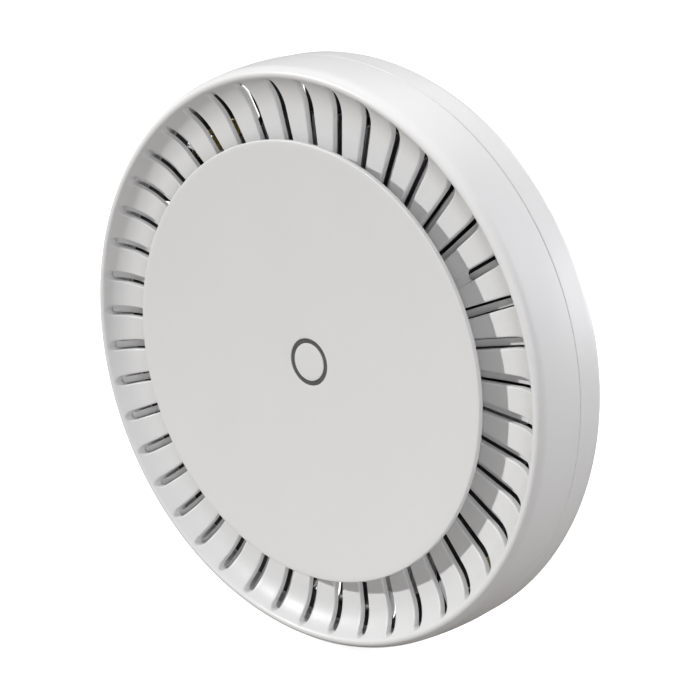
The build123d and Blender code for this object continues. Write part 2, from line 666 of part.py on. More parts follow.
def thermal_pads():
    back = BOARD_FRONT - SHIELD_HEIGHT
    front = back - PAD_THICKNESS
    processor = prism(Pos(*PROCESSOR_PLACE) * Rectangle(*PROCESSOR_PAD_SIZE), front, back)
    radios = [prism(Pos(*place) * Rectangle(*RADIO_PAD_SIZE), front, back) for place in RADIO_PLACES]
    return Compound(children=[processor] + radios)


def status_leds():
    one = prism(Rectangle(*LED_SIZE), BOARD_FRONT - LED_HEIGHT, BOARD_FRONT)
    return group_on_circle(one, GUIDE_STEM_RADIUS - 1.2, [45 + 90 * number for number in range(4)])


def capacitors():
    can = rod(CAPACITOR_RADIUS, BOARD_BACK, BOARD_BACK + CAPACITOR_HEIGHT)
    return group_at(fillet(can.edges().group_by(Axis.Y)[-1], 0.4), CAPACITOR_PLACES)


def power_inductor():
    x, z = POWER_INDUCTOR_PLACE
    outline = Pos(x, z) * RectangleRounded(INDUCTOR_BASE, INDUCTOR_BASE, 1.5)
    base = prism(outline, BOARD_BACK, BOARD_BACK + 1.0)
    return base + rod(INDUCTOR_RADIUS, BOARD_BACK + 0.9, BOARD_BACK + INDUCTOR_HEIGHT, x, z)


def lan_transformers():
    body = prism(Rectangle(*TRANSFORMER_SIZE), BOARD_BACK, BOARD_BACK + TRANSFORMER_HEIGHT)
    body = chamfer(body.edges().group_by(Axis.Y)[-1], 0.4)
    return group_at(body, ((JACK_IN_X, TRANSFORMER_Z), (JACK_OUT_X, TRANSFORMER_Z)))


# ---- Connectors ----
def ethernet_jack(x):
    """Shielded jack whose plug opening faces down, with the latch notch on the board's side."""
    half = JACK_WIDTH / 2
    port_half = JACK_PORT[0] / 2
    latch_half = JACK_LATCH[0] / 2
    port_front = BOARD_BACK + JACK_PORT_OFFSET
    port_back = port_front + JACK_PORT[1]
    z_range = (JACK_FACE, JACK_FACE + JACK_PORT_LENGTH)
    body_z = (JACK_FACE, JACK_FACE + JACK_LENGTH)
    body = block((x - half, x + half), body_z, BOARD_BACK, BOARD_BACK + JACK_HEIGHT)
    body = body - block((x - port_half, x + port_half), z_range, port_front, port_back)
    body = body - block((x - latch_half, x + latch_half), z_range, port_front - JACK_LATCH[1], port_front)
    for number in range(CONTACT_COUNT):
        place = x + (number - (CONTACT_COUNT - 1) / 2) * CONTACT_PITCH
        x_range = (place - CONTACT_WIDTH / 2, place + CONTACT_WIDTH / 2)
        contact_z = (JACK_FACE + CONTACT_START, z_range[1] + GAP)
        body = body + block(x_range, contact_z, port_back - CONTACT_HEIGHT, port_back + GAP)
    return body


def power_jack():
    width, height, length = POWER_JACK_SIZE
    half = width / 2
    x = POWER_JACK_X
    body = block((x - half, x + half), (JACK_FACE, JACK_FACE + length), BOARD_BACK, BOARD_BACK + height)
    axis_depth = BOARD_BACK + height - half - 0.2
    bore_end = JACK_FACE + POWER_BORE_LENGTH
    bore = upright(Circle(POWER_BORE_RADIUS), JACK_FACE, bore_end, x, axis_depth)
    pin = upright(Circle(POWER_PIN_RADIUS), JACK_FACE + 1.0, bore_end + GAP, x, axis_depth)
    return body - bore + pin


def button(x):
    """Plunger that stands a little into the bay and has its stop flange behind the wall."""
    inside = BAY_TOP + BAY_WALL
    cap = upright(Circle(BUTTON_RADIUS), BAY_TOP - BUTTON_PROUD, inside + GAP, x, BUTTON_DEPTH)
    cap = fillet(cap.edges().group_by(Axis.Z)[0], 0.5)
    start = inside + GAP / 2
    flange = upright(Circle(BUTTON_FLANGE_RADIUS), start, start + BUTTON_FLANGE, x, BUTTON_DEPTH)
    return cap + flange


def tact_switch(x):
    """Right-angle push switch on the board, its nub just behind the plunger."""
    flange_top = BAY_TOP + BAY_WALL + GAP / 2 + BUTTON_FLANGE
    nub_end = flange_top + BUTTON_TRAVEL + GAP
    width, length = SWITCH_SIZE
    body_start = nub_end + 1.0
    body_z = (body_start, body_start + length)
    body = block((x - width / 2, x + width / 2), body_z, BOARD_BACK, BUTTON_DEPTH + 3.0)
    return body + upright(Circle(SWITCH_NUB_RADIUS), nub_end, body_start + 0.1, x, BUTTON_DEPTH)


# ---- Antennas ----
def antenna(angle):
    """Bent sheet: a notched upright plate on a foot that lies on the rear shell."""
    back = BACK_DEPTH - WALL - GAP / 2
    front = back - ANTENNA_HEIGHT
    half = ANTENNA_WIDTH / 2
    outer = ANTENNA_RADIUS + ANTENNA_SHEET
    plate = block((ANTENNA_RADIUS, outer), (-half, half), front, back)
    notch = block((ANTENNA_RADIUS - 1, outer + 1), (ANTENNA_NOTCH_START - half, half + 1),
                  front + ANTENNA_NOTCH[0], front + ANTENNA_NOTCH[1])
    foot = block((ANTENNA_RADIUS - ANTENNA_FOOT, outer), (-half, half), back - ANTENNA_SHEET, back)
    return at_angle(plate - notch + foot, angle)


def antenna_cable(angle):
    """Thin coaxial cable from the antenna's foot over to a round plug on the back of the board."""
    start = ANTENNA_RADIUS - ANTENNA_FOOT + 2.0
    back = BACK_DEPTH - WALL - GAP / 2 - ANTENNA_SHEET - CABLE_RADIUS - 2 * GAP
    end = BOARD_RADIUS - 8.0
    end_depth = BOARD_BACK + CABLE_RADIUS + 0.3
    points = [(start, back), (start - 12, back - 0.6), (end + 16, end_depth + 3.5), (end, end_depth)]
    path = Spline(*[placed(point) for point in points])
    cable = sweep(Plane(origin=path @ 0, z_dir=path % 0) * Circle(CABLE_RADIUS), path)
    plug = rod(CABLE_PLUG_RADIUS, BOARD_BACK + 0.02, BOARD_BACK + CABLE_PLUG_HEIGHT, end - 0.6)
    return at_angle(cable + plug, angle)


# ---- Mounting bracket ----
def hook(angle):
    """T-shaped hook: a stem through the housing's back and a head behind it."""
    head_back = BACK_DEPTH - WALL - GAP
    head_front = head_back - HOOK_HEAD_HEIGHT
    along = (-HOOK_LENGTH / 2, HOOK_LENGTH / 2)
    stem_half = HOOK_STEM_WIDTH / 2
    head_half = HOOK_HEAD_WIDTH / 2
    stem_back = RIM_TO_WALL - BRACKET_PLATE / 2
    stem = block((HOOK_CIRCLE - stem_half, HOOK_CIRCLE + stem_half), along, head_front, stem_back)
    head = block((HOOK_CIRCLE - head_half, HOOK_CIRCLE + head_half), along, head_front, head_back)
    return at_angle(stem + head, angle)


def bracket_cut_outs():
    """Window for the connectors, and the gap in the rim for cables that leave sideways."""
    window_radius = BRACKET_RADIUS - BRACKET_WALL - 2
    half = BAY_HALF_WIDTH - 4.0
    back = RIM_TO_WALL + 1
    window = block((-half, half), (-window_radius, BAY_TOP + 2), BACK_DEPTH, back)
    cable_exit = block((-CABLE_GAP, CABLE_GAP), (-BRACKET_RADIUS - 1, BAY_TOP), BACK_DEPTH, back)
    return [window & rod(window_radius, 0, back), cable_exit]


def mounting_bracket():
    front = RIM_TO_WALL - BRACKET_PLATE
    bracket = ring(BRACKET_RADIUS, BRACKET_HOLE, front, RIM_TO_WALL)
    bracket = bracket + ring(BRACKET_RADIUS, BRACKET_RADIUS - BRACKET_WALL, BACK_DEPTH + GAP, RIM_TO_WALL)
    bracket = bracket - bracket_cut_outs()
    holes = [(*on_circle(CEILING_CIRCLE, angle), CEILING_HOLE) for angle in CEILING_ANGLES]
    for side in (-1, 1):
        holes.append((side * BOX_SPACING / 2, 0, BOX_HOLE))
        holes.append((0, side * GANG_SPACING / 2, GANG_HOLE))
    for x, z, radius in holes:
        bracket = bracket - rod(radius, front - 1, RIM_TO_WALL + 1, x, z)
    for angle in HOOK_ANGLES:
        bracket = bracket + hook(angle)
    return bracket


# ---- Files ----
def all_nodes():
    nodes = {
        "front_shell": front_shell(),
        "louvre_ring": louvre_ring(),
        "front_disc": front_disc(),
        "led_ring": led_ring(),
        "light_guide": light_guide(),
        "disc_screws": disc_screws(),
        "rear_shell": rear_shell(),
        "port_bay": port_bay(),
        "shell_screws": shell_screws(),
        "rear_label": rear_label(),
        "main_board": main_board(),
        "heat_sink": heat_sink(),
        "board_screws": board_screws(),
        "processor_shield": processor_shield(),
        "radio_shields": radio_shields(),
        "processor_chip": processor_chip(),
        "radio_chips": radio_chips(),
        "thermal_pads": thermal_pads(),
        "status_leds": status_leds(),
        "capacitors": capacitors(),
        "power_inductor": power_inductor(),
        "lan_transformers": lan_transformers(),
        "ethernet_jack_in": ethernet_jack(JACK_IN_X),
        "ethernet_jack_out": ethernet_jack(JACK_OUT_X),
        "power_jack": power_jack(),
        "reset_button": button(RESET_X),
        "mode_button": button(MODE_X),
        "reset_switch": tact_switch(RESET_X),
        "mode_switch": tact_switch(MODE_X),
        "mounting_bracket": mounting_bracket(),
    }
    for number, angle in enumerate(ANTENNA_ANGLES, start=1):
        nodes[f"antenna_{number}"] = antenna(angle)
        nodes[f"antenna_cable_{number}"] = antenna_cable(angle)
    return nodes


os.makedirs("parts", exist_ok=True)
for name, shape in all_nodes().items():
    export_step(shape, f"parts/{name}.step")
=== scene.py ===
import json
import math

import bmesh
import bpy
from mathutils import Matrix, Vector

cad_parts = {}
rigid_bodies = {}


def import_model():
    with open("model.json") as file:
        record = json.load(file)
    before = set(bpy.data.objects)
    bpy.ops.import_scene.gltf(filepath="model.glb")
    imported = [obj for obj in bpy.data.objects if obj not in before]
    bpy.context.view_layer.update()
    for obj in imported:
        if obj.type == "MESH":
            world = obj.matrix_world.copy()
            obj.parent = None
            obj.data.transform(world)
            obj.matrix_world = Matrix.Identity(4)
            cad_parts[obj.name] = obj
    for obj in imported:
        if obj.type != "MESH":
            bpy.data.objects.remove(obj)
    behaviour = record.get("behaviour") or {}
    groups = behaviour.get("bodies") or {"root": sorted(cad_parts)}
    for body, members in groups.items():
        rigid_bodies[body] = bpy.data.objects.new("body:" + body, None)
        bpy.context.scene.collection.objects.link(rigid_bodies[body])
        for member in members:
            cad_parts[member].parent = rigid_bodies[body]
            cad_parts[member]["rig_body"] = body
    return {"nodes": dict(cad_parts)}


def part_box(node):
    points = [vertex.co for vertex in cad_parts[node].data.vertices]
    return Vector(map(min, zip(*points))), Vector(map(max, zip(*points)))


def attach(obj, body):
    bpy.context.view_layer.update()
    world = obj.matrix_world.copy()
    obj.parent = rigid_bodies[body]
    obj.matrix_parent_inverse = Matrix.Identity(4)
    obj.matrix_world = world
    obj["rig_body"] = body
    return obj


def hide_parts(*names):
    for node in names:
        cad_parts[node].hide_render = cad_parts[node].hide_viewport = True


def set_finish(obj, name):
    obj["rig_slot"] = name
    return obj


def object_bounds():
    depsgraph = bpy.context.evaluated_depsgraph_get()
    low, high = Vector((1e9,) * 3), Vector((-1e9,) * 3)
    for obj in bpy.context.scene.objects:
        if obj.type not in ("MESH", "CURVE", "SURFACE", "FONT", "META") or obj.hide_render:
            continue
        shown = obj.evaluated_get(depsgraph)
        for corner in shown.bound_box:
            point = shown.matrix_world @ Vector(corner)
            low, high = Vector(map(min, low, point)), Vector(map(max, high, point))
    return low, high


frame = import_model()
cad_low, cad_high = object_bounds()
# The record's material slot for each node
SLOTS = {name: obj.data.materials[0].name for name, obj in frame["nodes"].items()}

# The object is a round ceiling access point whose axis is Y; its front faces -Y and +Z is up.
# Shapes are worked out in millimetres and written in metres. Most are placed by depth, which runs
# rearwards (+Y) from the rim of the front disc, and by radius from the axis.
MM = 0.001
CREST_DEPTH = -0.9                       # the lip stands this far in front of the disc's rim
RIM_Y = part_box("front_shell")[0].y / MM - CREST_DEPTH
BODY_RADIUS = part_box("front_shell")[1].x / MM
DISC_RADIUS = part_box("front_disc")[1].x / MM
WALL = 2.2

# Front shell
CREST_RADIUS = BODY_RADIUS - 4.7
LIP_RADIUS = 1.8
LIP_INNER_TILT = 55.0
LIP_OUTER_TILT = 44.0
BOWL_RADIUS = 18.0
FLOOR_TILT = 9.0
FLOOR_DEPTH = 12.5
SHOULDER_RADIUS = 6.0
SHOULDER_TILT = 80.0
PARTING_DEPTH = 19.6
PARTING_BEVEL = 0.3
SEAM_SHADE_REACH = 0.2                         # painted shade darkens the groove this far to both sides of the parting plane
HUB_DEPTH = 10.0
HUB_RADIUS = 24.0
HUB_BORE = 8.3
INNER_FACE_REACH = 5.0                   # a face that looks at the middle from farther off is an inner one, which gets painted shade
SIDE_INNER_LEAN = 1.8                    # the side wall's inside leans in this much towards the lip
SIDE_INNER_DEPTH = 5.2
CORNER_TILT = 46.0
BOSS_CIRCLE = 62.0
BOSS_ANGLES = (40.0, 140.0, 220.0, 320.0)
BOSS_RADIUS = 3.6
BOSS_BORE = 1.5
BOSS_END = 24.0

# Vent slots
SLOT_COUNT = 44
SLOT_WIDTH = 4.0
SLOT_INNER = 70.0
SLOT_OUTER = 107.7
SLOT_EDGE = 0.5                          # rounding of the slots' front edges
SHORT_SLOT = 4                           # counted from +X: a groove under the disc, open only outside it
SHORT_SLOT_INNER = 84.5
GROOVE_DEPTH = 1.0
PLUG_OVERLAP = 0.2                       # the block under the groove reaches this far into the slot's walls
CHANNEL_INNER = 66.0                     # where the slotted channel's mesh starts
CHANNEL_BACK_OUTER = 108.8

# Front disc
DISC_RIM_DEPTH = -0.1
DISC_CENTRE_DEPTH = 6.23
DISC_ROUNDING = 0.5
DISC_BOSS = 22.0
LED_OUTER = 9.25
LED_INNER = 7.33
LED_FLOOR = 7.2
LED_EDGE = 0.12
GUIDE_SEAT_RADIUS = 9.6
GUIDE_SEAT_DEPTH = 7.6

# Connectors, measured inwards from each one's own box
JACK_SKIN = Vector((1.0, 0.5, 0.05))
CONTACT_MARGIN = 3.9
CONTACT_DEPTH = 1.55
CONTACT_END = 0.95
BARREL_SKIN = 0.2
BARREL_PIN = 1.1

# Mesh density
END_STEPS = 6
SIDE_STEPS = 40
LAND_STEPS = 8
EDGE_STEPS = 4
BACK_STEPS = 4
BOSS_STEPS = 40
ROUND_STEPS = 2 * SLOT_COUNT * END_STEPS

# Colours that more than one material uses
SHELL_COLOUR = (0.82, 0.82, 0.815)
BLACK_MOULDING = (0.028, 0.028, 0.03)
# painted shade: the dark of a hole's inside, painted where a hole would be
HOLE_SHADE_COLOUR = (0.02, 0.02, 0.02)


# ---- Mesh building ----
class MeshMaker:
    """Collects grids of points and welds them into one smooth-shaded piece."""

    def __init__(self):
        self.points = []
        self.faces = []

    def grid(self, rows):
        width = len(rows[0])
        start = len(self.points)
        for row in rows:
            self.points.extend(row)
        for line in range(len(rows) - 1):
            for column in range(width - 1):
                corner = start + line * width + column
                self.faces.append((corner, corner + 1, corner + width + 1, corner + width))

    def turn(self, profile, steps=ROUND_STEPS, centre=(0.0, 0.0)):
        """A (radius, depth) profile turned about an axis parallel to Y through centre (x, z)."""
        rows = []
        for radius, depth in profile:
            row = []
            for step in range(steps + 1):
                x, y, z = polar(radius, 360.0 * (step % steps) / steps, depth)
                row.append((x + centre[0], y, z + centre[1]))
            rows.append(row)
        self.grid(rows)

    def piece(self, name, node, sharp_angle=32.0):
        """Makes the object, which stands for a CAD node and rides on that node's body."""
        mesh = bpy.data.meshes.new(name)
        mesh.from_pydata([Vector(point) * MM for point in self.points], [], self.faces)
        work = bmesh.new()
        work.from_mesh(mesh)
        bmesh.ops.remove_doubles(work, verts=work.verts, dist=0.002 * MM)
        bmesh.ops.dissolve_degenerate(work, edges=work.edges, dist=0.002 * MM)
        bmesh.ops.recalc_face_normals(work, faces=work.faces)
        work.to_mesh(mesh)
        work.free()
        mesh.shade_smooth()
        mesh.set_sharp_from_angle(angle=math.radians(sharp_angle))
        made = bpy.data.objects.new(name, mesh)
        bpy.context.scene.collection.objects.link(made)
        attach(made, frame["nodes"][node]["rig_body"])
        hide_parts(node)
        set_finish(made, SLOTS[node])
        return made


def polar(radius, angle, depth):
    """A point in millimetres; the angle runs anticlockwise from +X as seen from the front."""
    turn = math.radians(angle)
    return radius * math.cos(turn), RIM_Y + depth, radius * math.sin(turn)


def steps_between(start, end, count):
    return [start + (end - start) * step / count for step in range(count + 1)]


def arc(centre, radius, from_tilt, to_tilt, count, side=-1):
    """Profile points on a circle; a tilt is measured from the front plane, side -1 is the front half."""
    points = []
    for tilt in steps_between(from_tilt, to_tilt, count):
        lean = math.radians(tilt)
        points.append((centre[0] + radius * math.sin(lean), centre[1] + side * radius * math.cos(lean)))
    return points


def arc_from(start, tilt, end, count):
    """Profile points on the circle that leaves start along tilt and ends at end."""
    lean = math.radians(tilt)
    along = (math.cos(lean), math.sin(lean))
    across = (-along[1], along[0])
    chord = (end[0] - start[0], end[1] - start[1])
    sideways_share = chord[0] * across[0] + chord[1] * across[1]
    bend = 2 * sideways_share / (chord[0] ** 2 + chord[1] ** 2)
    turn = 2 * math.atan2(sideways_share, chord[0] * along[0] + chord[1] * along[1])
    points = []
    for share in steps_between(0.0, turn, count):
        forward = math.sin(share) / bend
        sideways = (1 - math.cos(share)) / bend
        points.append((start[0] + along[0] * forward + across[0] * sideways,
                       start[1] + along[1] * forward + across[1] * sideways))
    return points


# ---- Front shell: shared circles of its profile ----
LIP_CENTRE = (CREST_RADIUS, CREST_DEPTH + LIP_RADIUS)
LIP_INNER = arc(LIP_CENTRE, LIP_RADIUS, -LIP_INNER_TILT, -LIP_INNER_TILT, 1)[0]
LIP_OUTER = arc(LIP_CENTRE, LIP_RADIUS, LIP_OUTER_TILT, LIP_OUTER_TILT, 1)[0]
BOWL_CENTRE = arc(LIP_INNER, -BOWL_RADIUS, LIP_INNER_TILT, LIP_INNER_TILT, 1, side=1)[0]
SHOULDER_CENTRE = arc(LIP_OUTER, -SHOULDER_RADIUS, LIP_OUTER_TILT, LIP_OUTER_TILT, 1)[0]


def channel_depth(radius, behind=0.0):
    """Depth of the vent channel at a radius: sloping floor, hollow bowl, then the lip."""
    slope = math.tan(math.radians(FLOOR_TILT))
    bowl = BOWL_RADIUS + behind
    foot = arc(BOWL_CENTRE, bowl, FLOOR_TILT, FLOOR_TILT, 1, side=1)[0]
    if radius <= foot[0]:
        return min(foot[1] + (foot[0] - radius) * slope, FLOOR_DEPTH + behind)
    end_tilt = LIP_INNER_TILT if behind == 0.0 else CORNER_TILT
    corner = arc(BOWL_CENTRE, bowl, end_tilt, end_tilt, 1, side=1)[0]
    if radius <= corner[0]:
        return BOWL_CENTRE[1] + math.sqrt(bowl ** 2 - (radius - BOWL_CENTRE[0]) ** 2)
    if behind == 0.0:
        return LIP_CENTRE[1] - math.sqrt(max(LIP_RADIUS ** 2 - (radius - LIP_CENTRE[0]) ** 2, 0.0))
    end = (BODY_RADIUS - WALL - SIDE_INNER_LEAN, SIDE_INNER_DEPTH)
    return corner[1] + (radius - corner[0]) * (end[1] - corner[1]) / (end[0] - corner[0])


def eased(count, power=1.6):
    """Shares from 0 to 1 that crowd towards 1."""
    return [1 - (1 - step / count) ** power for step in range(count + 1)]


def slot_path(offset):
    """Half outline of a slot from its inner to its outer tip: (along, across)."""
    radius = SLOT_WIDTH / 2 + offset
    low = SLOT_INNER + SLOT_WIDTH / 2
    high = SLOT_OUTER - SLOT_WIDTH / 2
    quarter = [math.radians(angle) for angle in steps_between(0, 90, END_STEPS)]
    path = [(low - radius * math.cos(turn), radius * math.sin(turn)) for turn in quarter]
    path += [(low + (high - low) * share, radius) for share in eased(SIDE_STEPS)[1:-1]]
    path += [(high + radius * math.sin(turn), radius * math.cos(turn)) for turn in quarter]
    return path


def sector_path(inner, outer):
    """Boundary of half a sector, in step with slot_path."""
    half = 180.0 / SLOT_COUNT
    path = [(inner, angle) for angle in steps_between(0, half, END_STEPS)]
    path += [(inner + (outer - inner) * share, half) for share in eased(SIDE_STEPS)[1:-1]]
    path += [(outer, angle) for angle in steps_between(half, 0, END_STEPS)]
    return [(radius * math.cos(math.radians(angle)), radius * math.sin(math.radians(angle)))
            for radius, angle in path]


def between(path_a, path_b, share):
    return [(a[0] + (b[0] - a[0]) * share, a[1] + (b[1] - a[1]) * share) for a, b in zip(path_a, path_b)]


def half_sector():
    """Rows of (along, across, depth) from the front land over the slot's edge to the back."""
    def lay(path, behind=0.0, extra=0.0):
        return [(x, y, channel_depth(math.hypot(x, y), behind) + extra) for x, y in path]

    edge = slot_path(SLOT_EDGE)
    front = sector_path(CHANNEL_INNER, CREST_RADIUS)
    rows = [lay(between(edge, front, share)) for share in reversed(eased(LAND_STEPS, 1.5))]
    for step in range(1, EDGE_STEPS + 1):
        lean = math.radians(90.0 * step / EDGE_STEPS)
        path = slot_path(SLOT_EDGE * (1 - math.sin(lean)))
        rows.append(lay(path, extra=SLOT_EDGE * (1 - math.cos(lean))))
    wall = slot_path(0.0)
    back = sector_path(CHANNEL_INNER, CHANNEL_BACK_OUTER)
    rows += [lay(between(wall, back, share), behind=WALL) for share in steps_between(0, 1, BACK_STEPS)]
    return rows


def groove_plug():
    """Closed block that fills the short slot's inner part up to the groove's bottom."""
    half = SLOT_WIDTH / 2 + PLUG_OVERLAP
    columns = []
    for across in steps_between(-half, half, 14):
        start = SLOT_INNER + SLOT_WIDTH / 2 - math.sqrt(max(half ** 2 - across ** 2, 0.0))
        hollow = math.sqrt(max((SLOT_WIDTH / 2) ** 2 - across ** 2, 0.0))
        end = SHORT_SLOT_INNER + SLOT_WIDTH / 2 - hollow
        line = [(x, across) for x in steps_between(start, end, 20)]
        top = [(x, y, channel_depth(math.hypot(x, y)) + GROOVE_DEPTH) for x, y in line]
        bottom = [(x, y, channel_depth(math.hypot(x, y), WALL)) for x, y in reversed(line)]
        columns.append(top + bottom + top[:1])
    caps = []
    for column in (columns[0], columns[-1]):
        count = len(column) // 2
        caps.append([column[:count], column[count:2 * count][::-1]])
    return [columns] + caps


def turned_about_slot(rows, number, mirrored=False):
    """Places rows of (along, across, depth) at a slot."""
    turn = math.radians(360.0 * number / SLOT_COUNT)
    side = -1 if mirrored else 1
    return [[(x * math.cos(turn) - side * y * math.sin(turn), RIM_Y + depth,
              x * math.sin(turn) + side * y * math.cos(turn)) for x, y, depth in row] for row in rows]


def rim_profile():
    """From the lip's crest over the side wall to the parting line, and back inside to the channel."""
    side_inner = BODY_RADIUS - WALL
    shoulder = arc(SHOULDER_CENTRE, SHOULDER_RADIUS, LIP_OUTER_TILT, SHOULDER_TILT, 8)
    rim = arc(LIP_CENTRE, LIP_RADIUS, 0, LIP_OUTER_TILT, 6) + shoulder[1:]
    rim += arc_from(shoulder[-1], SHOULDER_TILT, (BODY_RADIUS, PARTING_DEPTH - PARTING_BEVEL), 12)[1:]
    rim += [(BODY_RADIUS - PARTING_BEVEL, PARTING_DEPTH), (side_inner, PARTING_DEPTH),
            (side_inner - SIDE_INNER_LEAN, SIDE_INNER_DEPTH),
            (CHANNEL_BACK_OUTER, channel_depth(CHANNEL_BACK_OUTER, WALL))]
    return rim


def hub_profile():
    """From the channel's inner edge round the bored hub that carries the disc, and back behind it."""
    slope = math.tan(math.radians(FLOOR_TILT))
    channel_front = channel_depth(CHANNEL_INNER)
    channel_back = channel_depth(CHANNEL_INNER, WALL)
    front_flat = CHANNEL_INNER - (FLOOR_DEPTH - channel_front) / slope
    back_flat = CHANNEL_INNER - (FLOOR_DEPTH + WALL - channel_back) / slope
    return [(CHANNEL_INNER, channel_front), (front_flat, FLOOR_DEPTH), (HUB_RADIUS, FLOOR_DEPTH),
            (HUB_RADIUS, HUB_DEPTH), (HUB_BORE, HUB_DEPTH), (HUB_BORE, HUB_DEPTH + WALL),
            (HUB_RADIUS - WALL, HUB_DEPTH + WALL), (HUB_RADIUS - WALL, FLOOR_DEPTH + WALL),
            (back_flat, FLOOR_DEPTH + WALL), (CHANNEL_INNER, channel_back)]


def boss_profile():
    """Closed outline of a screw boss, which starts inside the channel's floor."""
    start = FLOOR_DEPTH + WALL / 2
    return [(BOSS_RADIUS, start), (BOSS_RADIUS, BOSS_END), (BOSS_BORE, BOSS_END), (BOSS_BORE, start),
            (BOSS_RADIUS, start)]


def front_shell():
    maker = MeshMaker()
    sector = half_sector()
    for number in range(SLOT_COUNT):
        maker.grid(turned_about_slot(sector, number))
        maker.grid(turned_about_slot(sector, number, mirrored=True))
    for rows in groove_plug():
        maker.grid(turned_about_slot(rows, SHORT_SLOT))
    maker.turn(rim_profile())
    maker.turn(hub_profile())
    for angle in BOSS_ANGLES:
        x, _, z = polar(BOSS_CIRCLE, angle, 0)
        maker.turn(boss_profile(), steps=BOSS_STEPS, centre=(x, z))
    return maker.piece("front_cover", "front_shell")


# ---- Front disc ----
def saucer_depth(radius, behind=0.0):
    sag = DISC_CENTRE_DEPTH - DISC_RIM_DEPTH
    return DISC_CENTRE_DEPTH - sag * (radius / DISC_RADIUS) ** 2 + behind


def saucer(start, end, count, behind=0.0):
    return [(radius, saucer_depth(radius, behind)) for radius in steps_between(start, end, count)]


def light_ring_groove():
    """The groove of the light ring, with rounded edges."""
    inner = LED_INNER - LED_EDGE
    outer = LED_OUTER + LED_EDGE
    inner_edge = (inner, saucer_depth(inner) + LED_EDGE)
    outer_edge = (outer, saucer_depth(outer) + LED_EDGE)
    floor = [(LED_INNER, LED_FLOOR), (LED_OUTER, LED_FLOOR)]
    return arc(inner_edge, LED_EDGE, 0, 90, 4)[1:] + floor + arc(outer_edge, LED_EDGE, -90, 0, 4)


def front_disc():
    rim_corner = DISC_RADIUS - DISC_ROUNDING
    front_corner = (rim_corner, saucer_depth(rim_corner) + DISC_ROUNDING)
    back_corner = (rim_corner, saucer_depth(rim_corner, WALL) - DISC_ROUNDING)
    profile = saucer(0, LED_INNER - LED_EDGE, 4)
    profile += light_ring_groove()
    profile += saucer(LED_OUTER + LED_EDGE, rim_corner, 48)[1:]
    profile += arc(front_corner, DISC_ROUNDING, 0, 90, 6)[1:]
    profile += arc(back_corner, DISC_ROUNDING, 90, 0, 6, side=1)
    profile += saucer(rim_corner, DISC_BOSS, 30, WALL)[1:]
    profile += [(DISC_BOSS, HUB_DEPTH), (GUIDE_SEAT_RADIUS, HUB_DEPTH), (GUIDE_SEAT_RADIUS, GUIDE_SEAT_DEPTH),
                (0, GUIDE_SEAT_DEPTH)]
    maker = MeshMaker()
    maker.turn(profile)
    return maker.piece("front_saucer", "front_disc")


